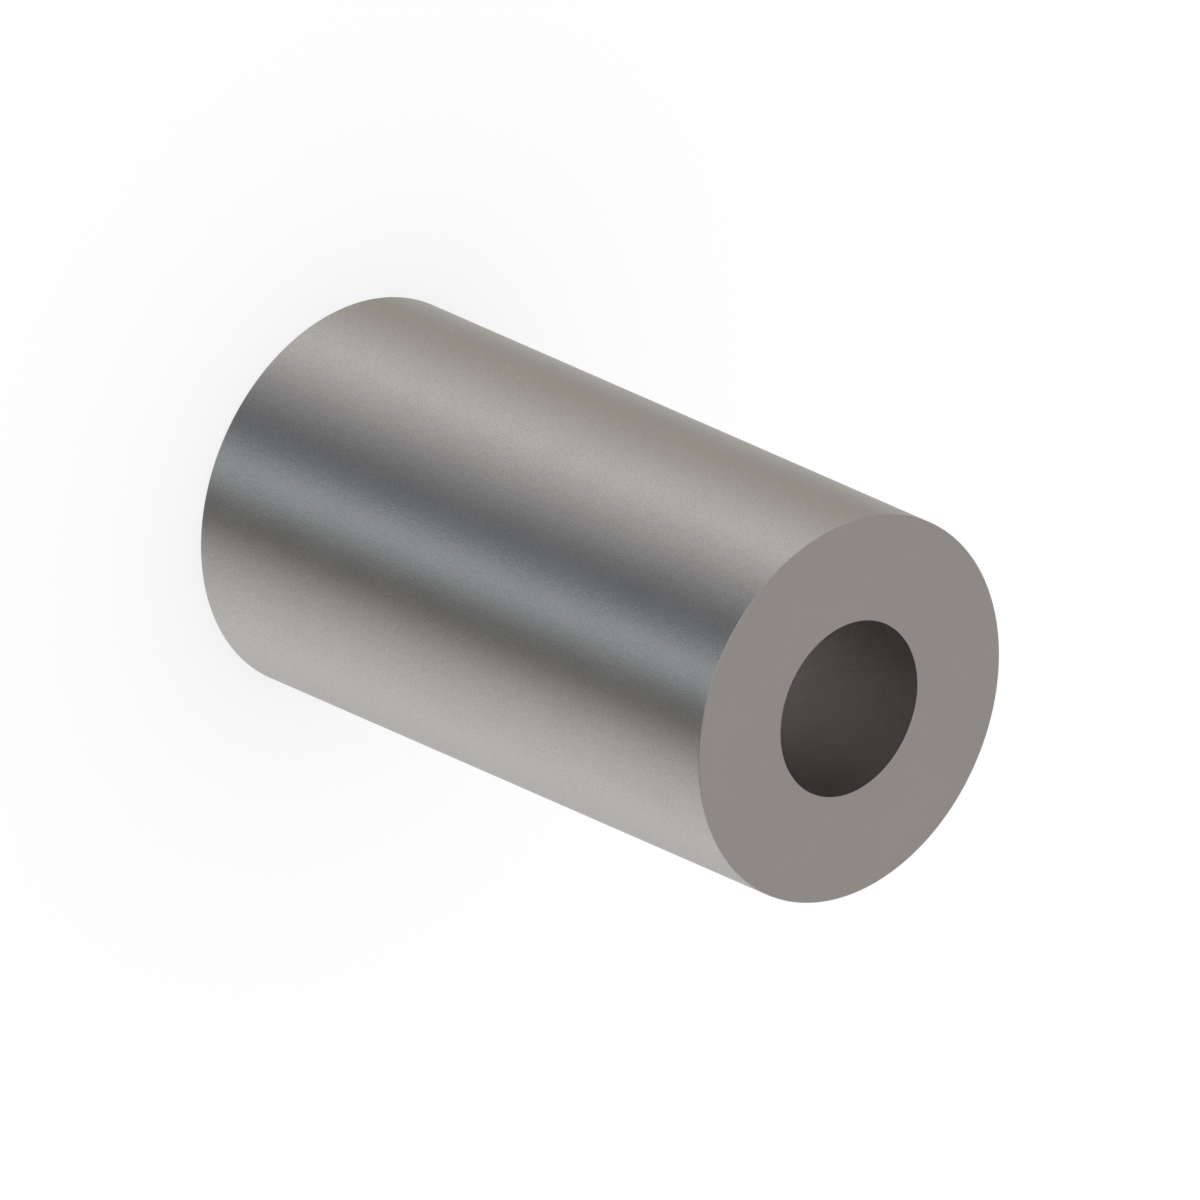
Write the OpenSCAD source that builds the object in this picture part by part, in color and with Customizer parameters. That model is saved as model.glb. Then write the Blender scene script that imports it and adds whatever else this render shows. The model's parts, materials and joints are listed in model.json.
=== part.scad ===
// Plain bushing: a thick-walled sleeve turned in one piece from round steel bar.
// It stands on one end. The bore axis is +Z and the origin is the centre of the lower end face.

/* [Sleeve] */
// Outside diameter, which seats in the housing
outside_d = 22; // [16:0.5:60]
// Bore diameter, which the shaft or bolt runs in
bore_d = 10; // [3:0.5:14]
// Length from end face to end face
sleeve_length = 40; // [5:0.5:120]

/* [Broken edges] */
// Radius of the rounded edge between each end face and the outside
outside_edge_r = 0.05; // [0.02:0.01:0.4]
// Radius of the rounded edge at each mouth of the bore
bore_edge_r = 0.03; // [0.02:0.01:0.4]

/* [Hidden] */
$fn = 128;

outside_r = outside_d / 2;
bore_r = bore_d / 2;

// The part of a square corner that rounding it to radius r takes away.
// The corner is at the origin and the material lies along +X and +Y.
module corner_waste(r) {
    difference() {
        square(r);
        translate([r, r]) circle(r);
    }
}

// One end of the wall: the rounded edge at the bore and the one at the outside.
module end_waste() {
    translate([bore_r, 0]) corner_waste(bore_edge_r);
    translate([outside_r, 0]) mirror([1, 0]) corner_waste(outside_edge_r);
}

// Half section of the wall in the X-Y plane, with the bore axis along Y.
module wall_section() {
    difference() {
        translate([bore_r, 0]) square([outside_r - bore_r, sleeve_length]);
        end_waste();
        translate([0, sleeve_length]) mirror([0, 1]) end_waste();
    }
}

module bushing() {
    color([0.66, 0.64, 0.62]) rotate_extrude() wall_section();
}

bushing();
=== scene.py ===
"""A plain steel bushing that stands on one end, in a plain white studio."""

import json
import math
from collections import namedtuple

import bmesh
import bpy
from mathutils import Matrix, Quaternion, Vector


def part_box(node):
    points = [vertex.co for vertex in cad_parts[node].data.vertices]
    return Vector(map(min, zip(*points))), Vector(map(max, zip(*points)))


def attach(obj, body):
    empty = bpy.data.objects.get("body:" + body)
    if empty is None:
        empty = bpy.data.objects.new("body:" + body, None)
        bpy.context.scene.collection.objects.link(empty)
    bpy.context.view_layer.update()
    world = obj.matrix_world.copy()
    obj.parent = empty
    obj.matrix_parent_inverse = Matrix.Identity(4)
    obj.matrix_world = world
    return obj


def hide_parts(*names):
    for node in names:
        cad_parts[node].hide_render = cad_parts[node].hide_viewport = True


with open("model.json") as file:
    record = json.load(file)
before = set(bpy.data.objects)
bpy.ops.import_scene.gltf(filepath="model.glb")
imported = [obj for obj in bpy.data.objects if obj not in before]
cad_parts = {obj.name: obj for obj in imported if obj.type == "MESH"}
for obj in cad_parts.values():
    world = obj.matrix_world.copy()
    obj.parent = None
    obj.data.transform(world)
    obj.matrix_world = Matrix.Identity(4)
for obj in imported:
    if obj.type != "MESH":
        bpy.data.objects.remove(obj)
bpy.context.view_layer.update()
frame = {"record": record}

MM = 0.001
QUARTER_TURN = 90

# Sizes of the sleeve, from the frame. The length of each round mount is that of its straight wall,
# so what it lacks at each end is the rounded edge.
mounts = {mount["name"]: mount["dims"] for mount in frame["record"]["mounts"]}
node_low, node_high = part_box("bushing")
LENGTH = node_high.z - node_low.z
OUTSIDE_R = mounts["outside"]["r_mm"] * MM
BORE_R = mounts["bore"]["r_mm"] * MM
OUTSIDE_EDGE_R = (LENGTH - mounts["outside"]["length_mm"] * MM) / 2
BORE_EDGE_R = (LENGTH - mounts["bore"]["length_mm"] * MM) / 2

# Fineness of the mesh: sides round the axis, and steps along each rounded edge, wall and end face
SEGMENTS = 256
EDGE_STEPS = 8
WALL_STEPS = 16
FACE_STEPS = 6

# Two radii that differ by no more than this share are the same, so the wall is straight there.
SAME_RADIUS = 1e-6

# The texture map, laid out in real millimetres on a square sheet.
MAP_NAME = "OFBake"
SHEET_SIZE = 87 * MM
SHEET_GAP = 2 * MM

# A finish's lay, from 0 to 1, is how much smoother the steel is along the axis than round it, as in
# a drawn tube. Its grain is the share by which the colour varies from speck to speck.
Finish = namedtuple("Finish", "name colour roughness lay grain")
WALL_FINISH = Finish("steel_wall", (0.503, 0.481, 0.460), 0.30, 0.0, 0.08)
FACE_FINISH = Finish("steel_face", (0.503, 0.481, 0.460), 0.30, 0.0, 0.01)
# The bore's colour is lighter than the outside steel's. This is painted light: it makes the inside
# of the bore brighter than the light reaching it would. Its roughness and lay are its own finish.
BORE_FINISH_AND_PAINTED_LIGHT = Finish("steel_bore_painted_light", (0.790, 0.765, 0.750), 0.37, 0.9, 0.02)
FINISHES = (WALL_FINISH, FACE_FINISH, BORE_FINISH_AND_PAINTED_LIGHT)

# What varies over every finish: how wide a noise's patches are, how finely they break up, and how
# far the noise moves the colour or the roughness, or how deep it makes the grain.
MOTTLE_SIZE = 5 * MM
MOTTLE_DETAIL = 3.0
COLOUR_SPREAD = 0.01
SMEAR_SIZE = 3 * MM
SMEAR_DETAIL = 1.0
ROUGHNESS_SPREAD = 0.01
GRAIN_SIZE = 0.085 * MM
GRAIN_DETAIL = 0.0
GRAIN_DEPTH = 0.006 * MM

# Noise runs from 0 to 1, but nearly all of it lies between these two.
NOISE_LOW = 0.3
NOISE_HIGH = 0.7

# A panel's azimuth and elevation are in degrees, as are half its width and the width of its soft
# edge. Azimuth 0 is towards the camera, at -Y, and 90 is +X.
Panel = namedtuple("Panel", "azimuth elevation half_width softness colour")

# The studio is a pale room. A flag is a tall panel, and its colour is the share of the room's light
# that it leaves. A tall light adds to it. The strip light stands in the middle of the front flag,
# with a warm flag behind it, and a weak side light stands at the front flag's left edge.
WALL_COLOUR = (0.87, 0.87, 0.87)
FRONT_FLAG = Panel(10.5, 0, 49.5, 80.0, (0.100, 0.115, 0.155))
WARM_FLAG = Panel(19.5, 0, 26.5, 30.5, (0.300, 0.190, 0.050))
RIGHT_FLAG = Panel(92.5, 0, 16.0, 13.5, (0.950, 0.970, 0.995))
LEFT_FLAG = Panel(-119.0, 0, 27.5, 40.5, (0.660, 0.640, 0.590))
REAR_FLAG = Panel(187.5, 0, 47.0, 48.5, (0.730, 0.725, 0.705))
STRIP_LIGHT = Panel(14.0, 0, 12.0, 36.5, (0.690, 0.795, 0.870))
SIDE_LIGHT = Panel(-68.5, 0, 3.5, 17.5, (0.190, 0.170, 0.065))

# High up there are a grey ceiling, a dark flag to the right and a soft box behind the camera.
CEILING = Panel(180.0, 85.0, 54.0, 70.0, (0.505, 0.480, 0.470))
HIGH_FLAG = Panel(70.0, 57.0, 24.0, 10.0, (0.190, 0.190, 0.190))
SOFT_BOX = Panel(-10.5, 44.5, 28.5, 5.0, (0.955, 0.955, 0.955))

# The part of a direction that is kept to make it level
LEVEL_PART = (1.0, 1.0, 0.0)

# The floor is mostly a glow of its own, a little over white. The rest, a share of FLOOR_SHADOW, is
# lit by the room and keeps the part's shadow.
WHITE = (1.0, 1.0, 1.0)
FLOOR_R = 150 * MM
FLOOR_SEGMENTS = 96
FLOOR_SHADOW = 0.35
FLOOR_GLOW = 1.03

# The photograph's view: how far the camera looks down on the upper end face, how far below level
# the bore axis runs across the picture, and the width that the picture takes in.
VIEW_ELEVATION = 42.7
AXIS_SLOPE = 23.6
PICTURE_WIDTH = 64.9 * MM
CAMERA_DISTANCE = 300 * MM

# The colour sockets of a Mix node go by number, because its other sockets have the same names.
MIX_FACTOR, MIX_FIRST, MIX_SECOND = 0, 6, 7
MIX_RESULT = 2


# A rounded edge of the wall's section: its centre, its radius, the surface that it belongs to, and
# the surface that follows it, with the steps along that.
Edge = namedtuple("Edge", "centre_r centre_z radius surface next_surface next_steps")

# A point of the section: its place, its normal's parts across and up, how far along the section it
# lies from where its surface starts, and that surface.
Point = namedtuple("Point", "radius height across up run surface")


def section_points():
    """The wall's section, in order: up the outside, over the upper face, down the bore and back."""
    outer, inner = OUTSIDE_R - OUTSIDE_EDGE_R, BORE_R + BORE_EDGE_R
    edges = (
        Edge(outer, OUTSIDE_EDGE_R, OUTSIDE_EDGE_R, "outside", "outside", WALL_STEPS),
        Edge(outer, LENGTH - OUTSIDE_EDGE_R, OUTSIDE_EDGE_R, "outside", "upper_face", FACE_STEPS),
        Edge(inner, LENGTH - BORE_EDGE_R, BORE_EDGE_R, "bore", "bore", WALL_STEPS),
        Edge(inner, BORE_EDGE_R, BORE_EDGE_R, "bore", "lower_face", FACE_STEPS),
    )
    stations = []
    for index, edge in enumerate(edges):
        # Each edge turns the normal by a quarter. The first starts with it straight down.
        for step in range(EDGE_STEPS + 1):
            angle = math.radians(QUARTER_TURN * (index - 1 + step / EDGE_STEPS))
            across, up = math.cos(angle), math.sin(angle)
            radius = edge.centre_r + edge.radius * across
            height = edge.centre_z + edge.radius * up
            surface = edge.surface if step < EDGE_STEPS else edge.next_surface
            stations.append((radius, height, across, up, surface))

        # A straight run follows, as far as the next edge's start, which has the same normal.
        next_edge = edges[(index + 1) % len(edges)]
        start = Vector((radius, height))
        end = Vector((next_edge.centre_r + next_edge.radius * across,
                      next_edge.centre_z + next_edge.radius * up))
        for step in range(1, edge.next_steps):
            place = start.lerp(end, step / edge.next_steps)
            stations.append((place.x, place.y, across, up, edge.next_surface))

    points = []
    for radius, height, across, up, surface in stations:
        same = points and points[-1].surface == surface
        run = points[-1].run + math.dist(points[-1][:2], (radius, height)) if same else 0.0
        points.append(Point(radius, height, across, up, run, surface))
    return points


def sheet_place(surface, radius, run, turn):
    """A point's place on the texture sheet, which has both walls unrolled and the end faces."""
    second_row = 2 * SHEET_GAP + LENGTH
    first_centre = 2 * SHEET_GAP + 2 * math.pi * BORE_R + OUTSIDE_R
    second_centre = first_centre + 2 * OUTSIDE_R + SHEET_GAP
    across, up = radius * math.cos(turn), radius * math.sin(turn)
    if surface == "outside":
        place = (SHEET_GAP + OUTSIDE_R * turn, SHEET_GAP + run)
    elif surface == "bore":
        place = (SHEET_GAP + BORE_R * turn, second_row + run)
    elif surface == "upper_face":
        place = (first_centre + across, second_row + OUTSIDE_R + up)
    else:
        place = (second_centre + across, second_row + OUTSIDE_R - up)
    return Vector(place) / SHEET_SIZE


def surface_finish(start, end):
    """The finish between two points. The bore's own finish, whose colour is lightened as painted
    light, stops at its rounded edges.
    """
    if start.surface == "outside":
        return WALL_FINISH
    straight = math.isclose(start.radius, end.radius, rel_tol=SAME_RADIUS)
    return BORE_FINISH_AND_PAINTED_LIGHT if start.surface == "bore" and straight else FACE_FINISH


def steel_sleeve():
    """The sleeve: a lathe mesh of four-sided faces, with true normals and a map at one scale."""
    points = section_points()
    turns = [2 * math.pi * segment / SEGMENTS for segment in range(SEGMENTS + 1)]
    mesh = bmesh.new()
    sheet = mesh.loops.layers.uv.new(MAP_NAME)

    rings = []
    normals = []
    for point in points:
        ring = []
        for turn in turns[:-1]:
            x, y = math.cos(turn), math.sin(turn)
            ring.append(mesh.verts.new((point.radius * x, point.radius * y, point.height)))
            normals.append((point.across * x, point.across * y, point.up))
        rings.append(ring)

    for index, start in enumerate(points):
        following = (index + 1) % len(points)
        end = points[following]
        end_run = start.run + math.dist(start[:2], end[:2])
        ring, above = rings[index], rings[following]
        finish = FINISHES.index(surface_finish(start, end))
        for segment in range(SEGMENTS):
            after = (segment + 1) % SEGMENTS
            face = mesh.faces.new((ring[segment], ring[after], above[after], above[segment]))
            face.smooth = True
            face.material_index = finish
            here, there = turns[segment], turns[segment + 1]
            corners = ((start.radius, start.run, here), (start.radius, start.run, there),
                       (end.radius, end_run, there), (end.radius, end_run, here))
            for loop, corner in zip(face.loops, corners):
                loop[sheet].uv = sheet_place(start.surface, *corner)

    data = bpy.data.meshes.new("steel_sleeve")
    mesh.to_mesh(data)
    mesh.free()
    data.normals_split_custom_set_from_vertices(normals)
    piece = bpy.data.objects.new("steel_sleeve", data)
    bpy.context.scene.collection.objects.link(piece)
    return piece


def direction_at(azimuth, elevation):
    """The direction at an azimuth and an elevation."""
    turn, rise = math.radians(azimuth), math.radians(elevation)
    return (math.sin(turn) * math.cos(rise), -math.cos(turn) * math.cos(rise), math.sin(rise))


def feed(tree, socket, value):
    """Puts a value, or what another node gives, into a socket."""
    if isinstance(value, bpy.types.NodeSocket):
        tree.links.new(value, socket)
    elif isinstance(value, tuple) and socket.type == "RGBA":
        socket.default_value = (*value, 1.0)
    else:
        socket.default_value = value


def math_node(tree, operation, *values):
    """A Math node's result."""
    node = tree.nodes.new("ShaderNodeMath")
    node.operation = operation
    for socket, value in zip(node.inputs, values):
        feed(tree, socket, value)
    return node.outputs["Value"]


def vector_node(tree, operation, *values):
    """A Vector Math node, whose result is its Vector or its Value."""
    node = tree.nodes.new("ShaderNodeVectorMath")
    node.operation = operation
    for socket, value in zip(node.inputs, values):
        feed(tree, socket, value)
    return node


def ramp(tree, value, low, high, to_low, to_high):
    """A value's smooth change from to_low, at low, to to_high, at high."""
    node = tree.nodes.new("ShaderNodeMapRange")
    node.interpolation_type = "SMOOTHSTEP"
    names = ("Value", "From Min", "From Max", "To Min", "To Max")
    for name, number in zip(names, (value, low, high, to_low, to_high)):
        feed(tree, node.inputs[name], number)
    return node.outputs["Result"]


def blend_colour(tree, blend, factor, first, second):
    """A Mix node's result for two colours."""
    node = tree.nodes.new("ShaderNodeMix")
    node.data_type = "RGBA"
    node.blend_type = blend
    feed(tree, node.inputs[MIX_FACTOR], factor)
    feed(tree, node.inputs[MIX_FIRST], first)
    feed(tree, node.inputs[MIX_SECOND], second)
    return node.outputs[MIX_RESULT]


def noise(tree, place, size, detail):
    """Noise whose patches are about as wide as size."""
    node = tree.nodes.new("ShaderNodeTexNoise")
    feed(tree, node.inputs["Vector"], place)
    node.inputs["Scale"].default_value = 1 / size
    node.inputs["Detail"].default_value = detail
    return node.outputs["Fac"]


def varied(tree, value, middle, spread):
    """A number that follows a noise, from a spread under its middle to a spread over it."""
    return ramp(tree, value, NOISE_LOW, NOISE_HIGH, middle - spread, middle + spread)


def bump(tree, height, depth):
    """A normal that follows a height, whose whole range is as deep as depth."""
    node = tree.nodes.new("ShaderNodeBump")
    node.inputs["Distance"].default_value = depth
    feed(tree, node.inputs["Height"], height)
    return node.outputs["Normal"]


def steel_material(finish):
    """Satin steel with a faint mottle, a fine grain and, where the finish has a lay, that lay."""
    material = bpy.data.materials.new(finish.name)
    material.use_nodes = True
    tree = material.node_tree
    shader = tree.nodes["Principled BSDF"]
    shader.inputs["Metallic"].default_value = 1.0
    place = tree.nodes.new("ShaderNodeTexCoord").outputs["Object"]
    mottle = noise(tree, place, MOTTLE_SIZE, MOTTLE_DETAIL)
    smear = noise(tree, place, SMEAR_SIZE, SMEAR_DETAIL)
    grain = noise(tree, place, GRAIN_SIZE, GRAIN_DETAIL)

    shade = math_node(tree, "MULTIPLY", varied(tree, mottle, 1.0, COLOUR_SPREAD),
                      varied(tree, grain, 1.0, finish.grain))
    tint = vector_node(tree, "SCALE", finish.colour)
    feed(tree, tint.inputs["Scale"], shade)
    feed(tree, shader.inputs["Base Color"], tint.outputs["Vector"])
    roughness = varied(tree, smear, finish.roughness, ROUGHNESS_SPREAD)
    feed(tree, shader.inputs["Roughness"], roughness)
    feed(tree, shader.inputs["Normal"], bump(tree, grain, GRAIN_DEPTH))

    if finish.lay:
        around = tree.nodes.new("ShaderNodeTangent")
        around.direction_type = "RADIAL"
        around.axis = "Z"
        feed(tree, shader.inputs["Tangent"], around.outputs["Tangent"])
        shader.inputs["Anisotropic"].default_value = finish.lay
    return material


def panel_mask(tree, direction, panel):
    """How much of a panel lies in a direction. A tall panel takes the level direction."""
    middle = direction_at(panel.azimuth, panel.elevation)
    cosine = vector_node(tree, "DOT_PRODUCT", direction, middle).outputs["Value"]
    away = math_node(tree, "ARCCOSINE", math_node(tree, "MINIMUM", cosine, 1.0))
    edge = math.radians(panel.half_width)
    half_soft = math.radians(panel.softness) / 2
    return ramp(tree, away, edge - half_soft, edge + half_soft, to_low=1.0, to_high=0.0)


def studio_world():
    """The white room with its flags and lights. The camera sees it plain white."""
    world = bpy.data.worlds.new("studio")
    bpy.context.scene.world = world
    world.use_nodes = True
    # A ray finds the world only by reaching it, so each kind of ray gets the light meant for it.
    world.cycles.sampling_method = "NONE"
    tree = world.node_tree
    ray = tree.nodes.new("ShaderNodeTexCoord").outputs["Generated"]
    flat = vector_node(tree, "MULTIPLY", ray, LEVEL_PART).outputs["Vector"]
    level_direction = vector_node(tree, "NORMALIZE", flat).outputs["Vector"]

    room = WALL_COLOUR
    for flag in (FRONT_FLAG, WARM_FLAG, RIGHT_FLAG, LEFT_FLAG, REAR_FLAG):
        mask = panel_mask(tree, level_direction, flag)
        room = blend_colour(tree, "MULTIPLY", mask, room, flag.colour)
    for lamp in (STRIP_LIGHT, SIDE_LIGHT):
        mask = panel_mask(tree, level_direction, lamp)
        room = blend_colour(tree, "ADD", mask, room, lamp.colour)
    for panel in (CEILING, HIGH_FLAG, SOFT_BOX):
        room = blend_colour(tree, "MIX", panel_mask(tree, ray, panel), room, panel.colour)

    # The camera sees white, as do rays from matt surfaces. Mirrored and refracted rays see the
    # room.
    path = tree.nodes.new("ShaderNodeLightPath").outputs
    background = blend_colour(tree, "MIX", path["Is Camera Ray"], room, WHITE)
    mirrored = math_node(tree, "ADD", path["Is Glossy Ray"], path["Is Transmission Ray"])
    seen = math_node(tree, "ADD", path["Is Camera Ray"], mirrored)
    seen = math_node(tree, "MINIMUM", seen, 1.0)
    light = blend_colour(tree, "MIX", seen, WHITE, background)
    feed(tree, tree.nodes["Background"].inputs["Color"], light)


def white_floor():
    """A white floor that keeps the part's soft shadow. It isn't mirrored in the steel."""
    mesh = bmesh.new()
    bmesh.ops.create_circle(mesh, cap_ends=True, radius=FLOOR_R, segments=FLOOR_SEGMENTS)
    data = bpy.data.meshes.new("floor")
    mesh.to_mesh(data)
    mesh.free()
    floor = bpy.data.objects.new("floor", data)
    bpy.context.scene.collection.objects.link(floor)
    floor.visible_glossy = False
    floor.visible_transmission = False

    material = bpy.data.materials.new("floor")
    material.use_nodes = True
    tree = material.node_tree
    tree.nodes.remove(tree.nodes["Principled BSDF"])
    glow = tree.nodes.new("ShaderNodeEmission")
    feed(tree, glow.inputs["Color"], WHITE)
    glow.inputs["Strength"].default_value = FLOOR_GLOW
    matt = tree.nodes.new("ShaderNodeBsdfDiffuse")
    feed(tree, matt.inputs["Color"], WHITE)
    both = tree.nodes.new("ShaderNodeMixShader")
    share, first, second = both.inputs
    share.default_value = FLOOR_SHADOW
    feed(tree, first, glow.outputs["Emission"])
    feed(tree, second, matt.outputs["BSDF"])
    feed(tree, tree.nodes["Material Output"].inputs["Surface"], both.outputs["Shader"])
    data.materials.append(material)


def photo_camera():
    """A camera with no perspective, at the photograph's angle and roll."""
    camera = bpy.data.cameras.new("camera")
    camera.type = "ORTHO"
    camera.ortho_scale = PICTURE_WIDTH
    holder = bpy.data.objects.new("camera", camera)
    bpy.context.scene.collection.objects.link(holder)
    elevation = math.radians(VIEW_ELEVATION)
    back = Vector((0.0, -math.cos(elevation), math.sin(elevation)))
    roll = Quaternion((0, 0, 1), math.radians(QUARTER_TURN + AXIS_SLOPE))
    holder.rotation_mode = "QUATERNION"
    holder.rotation_quaternion = (-back).to_track_quat("-Z", "Y") @ roll
    holder.location = (node_low + node_high) / 2 + back * CAMERA_DISTANCE
    bpy.context.scene.camera = holder


piece = steel_sleeve()
for finish in FINISHES:
    piece.data.materials.append(steel_material(finish))
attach(piece, "root")
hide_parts("bushing")

studio_world()
white_floor()
photo_camera()
bpy.context.scene.view_settings.view_transform = "Standard"
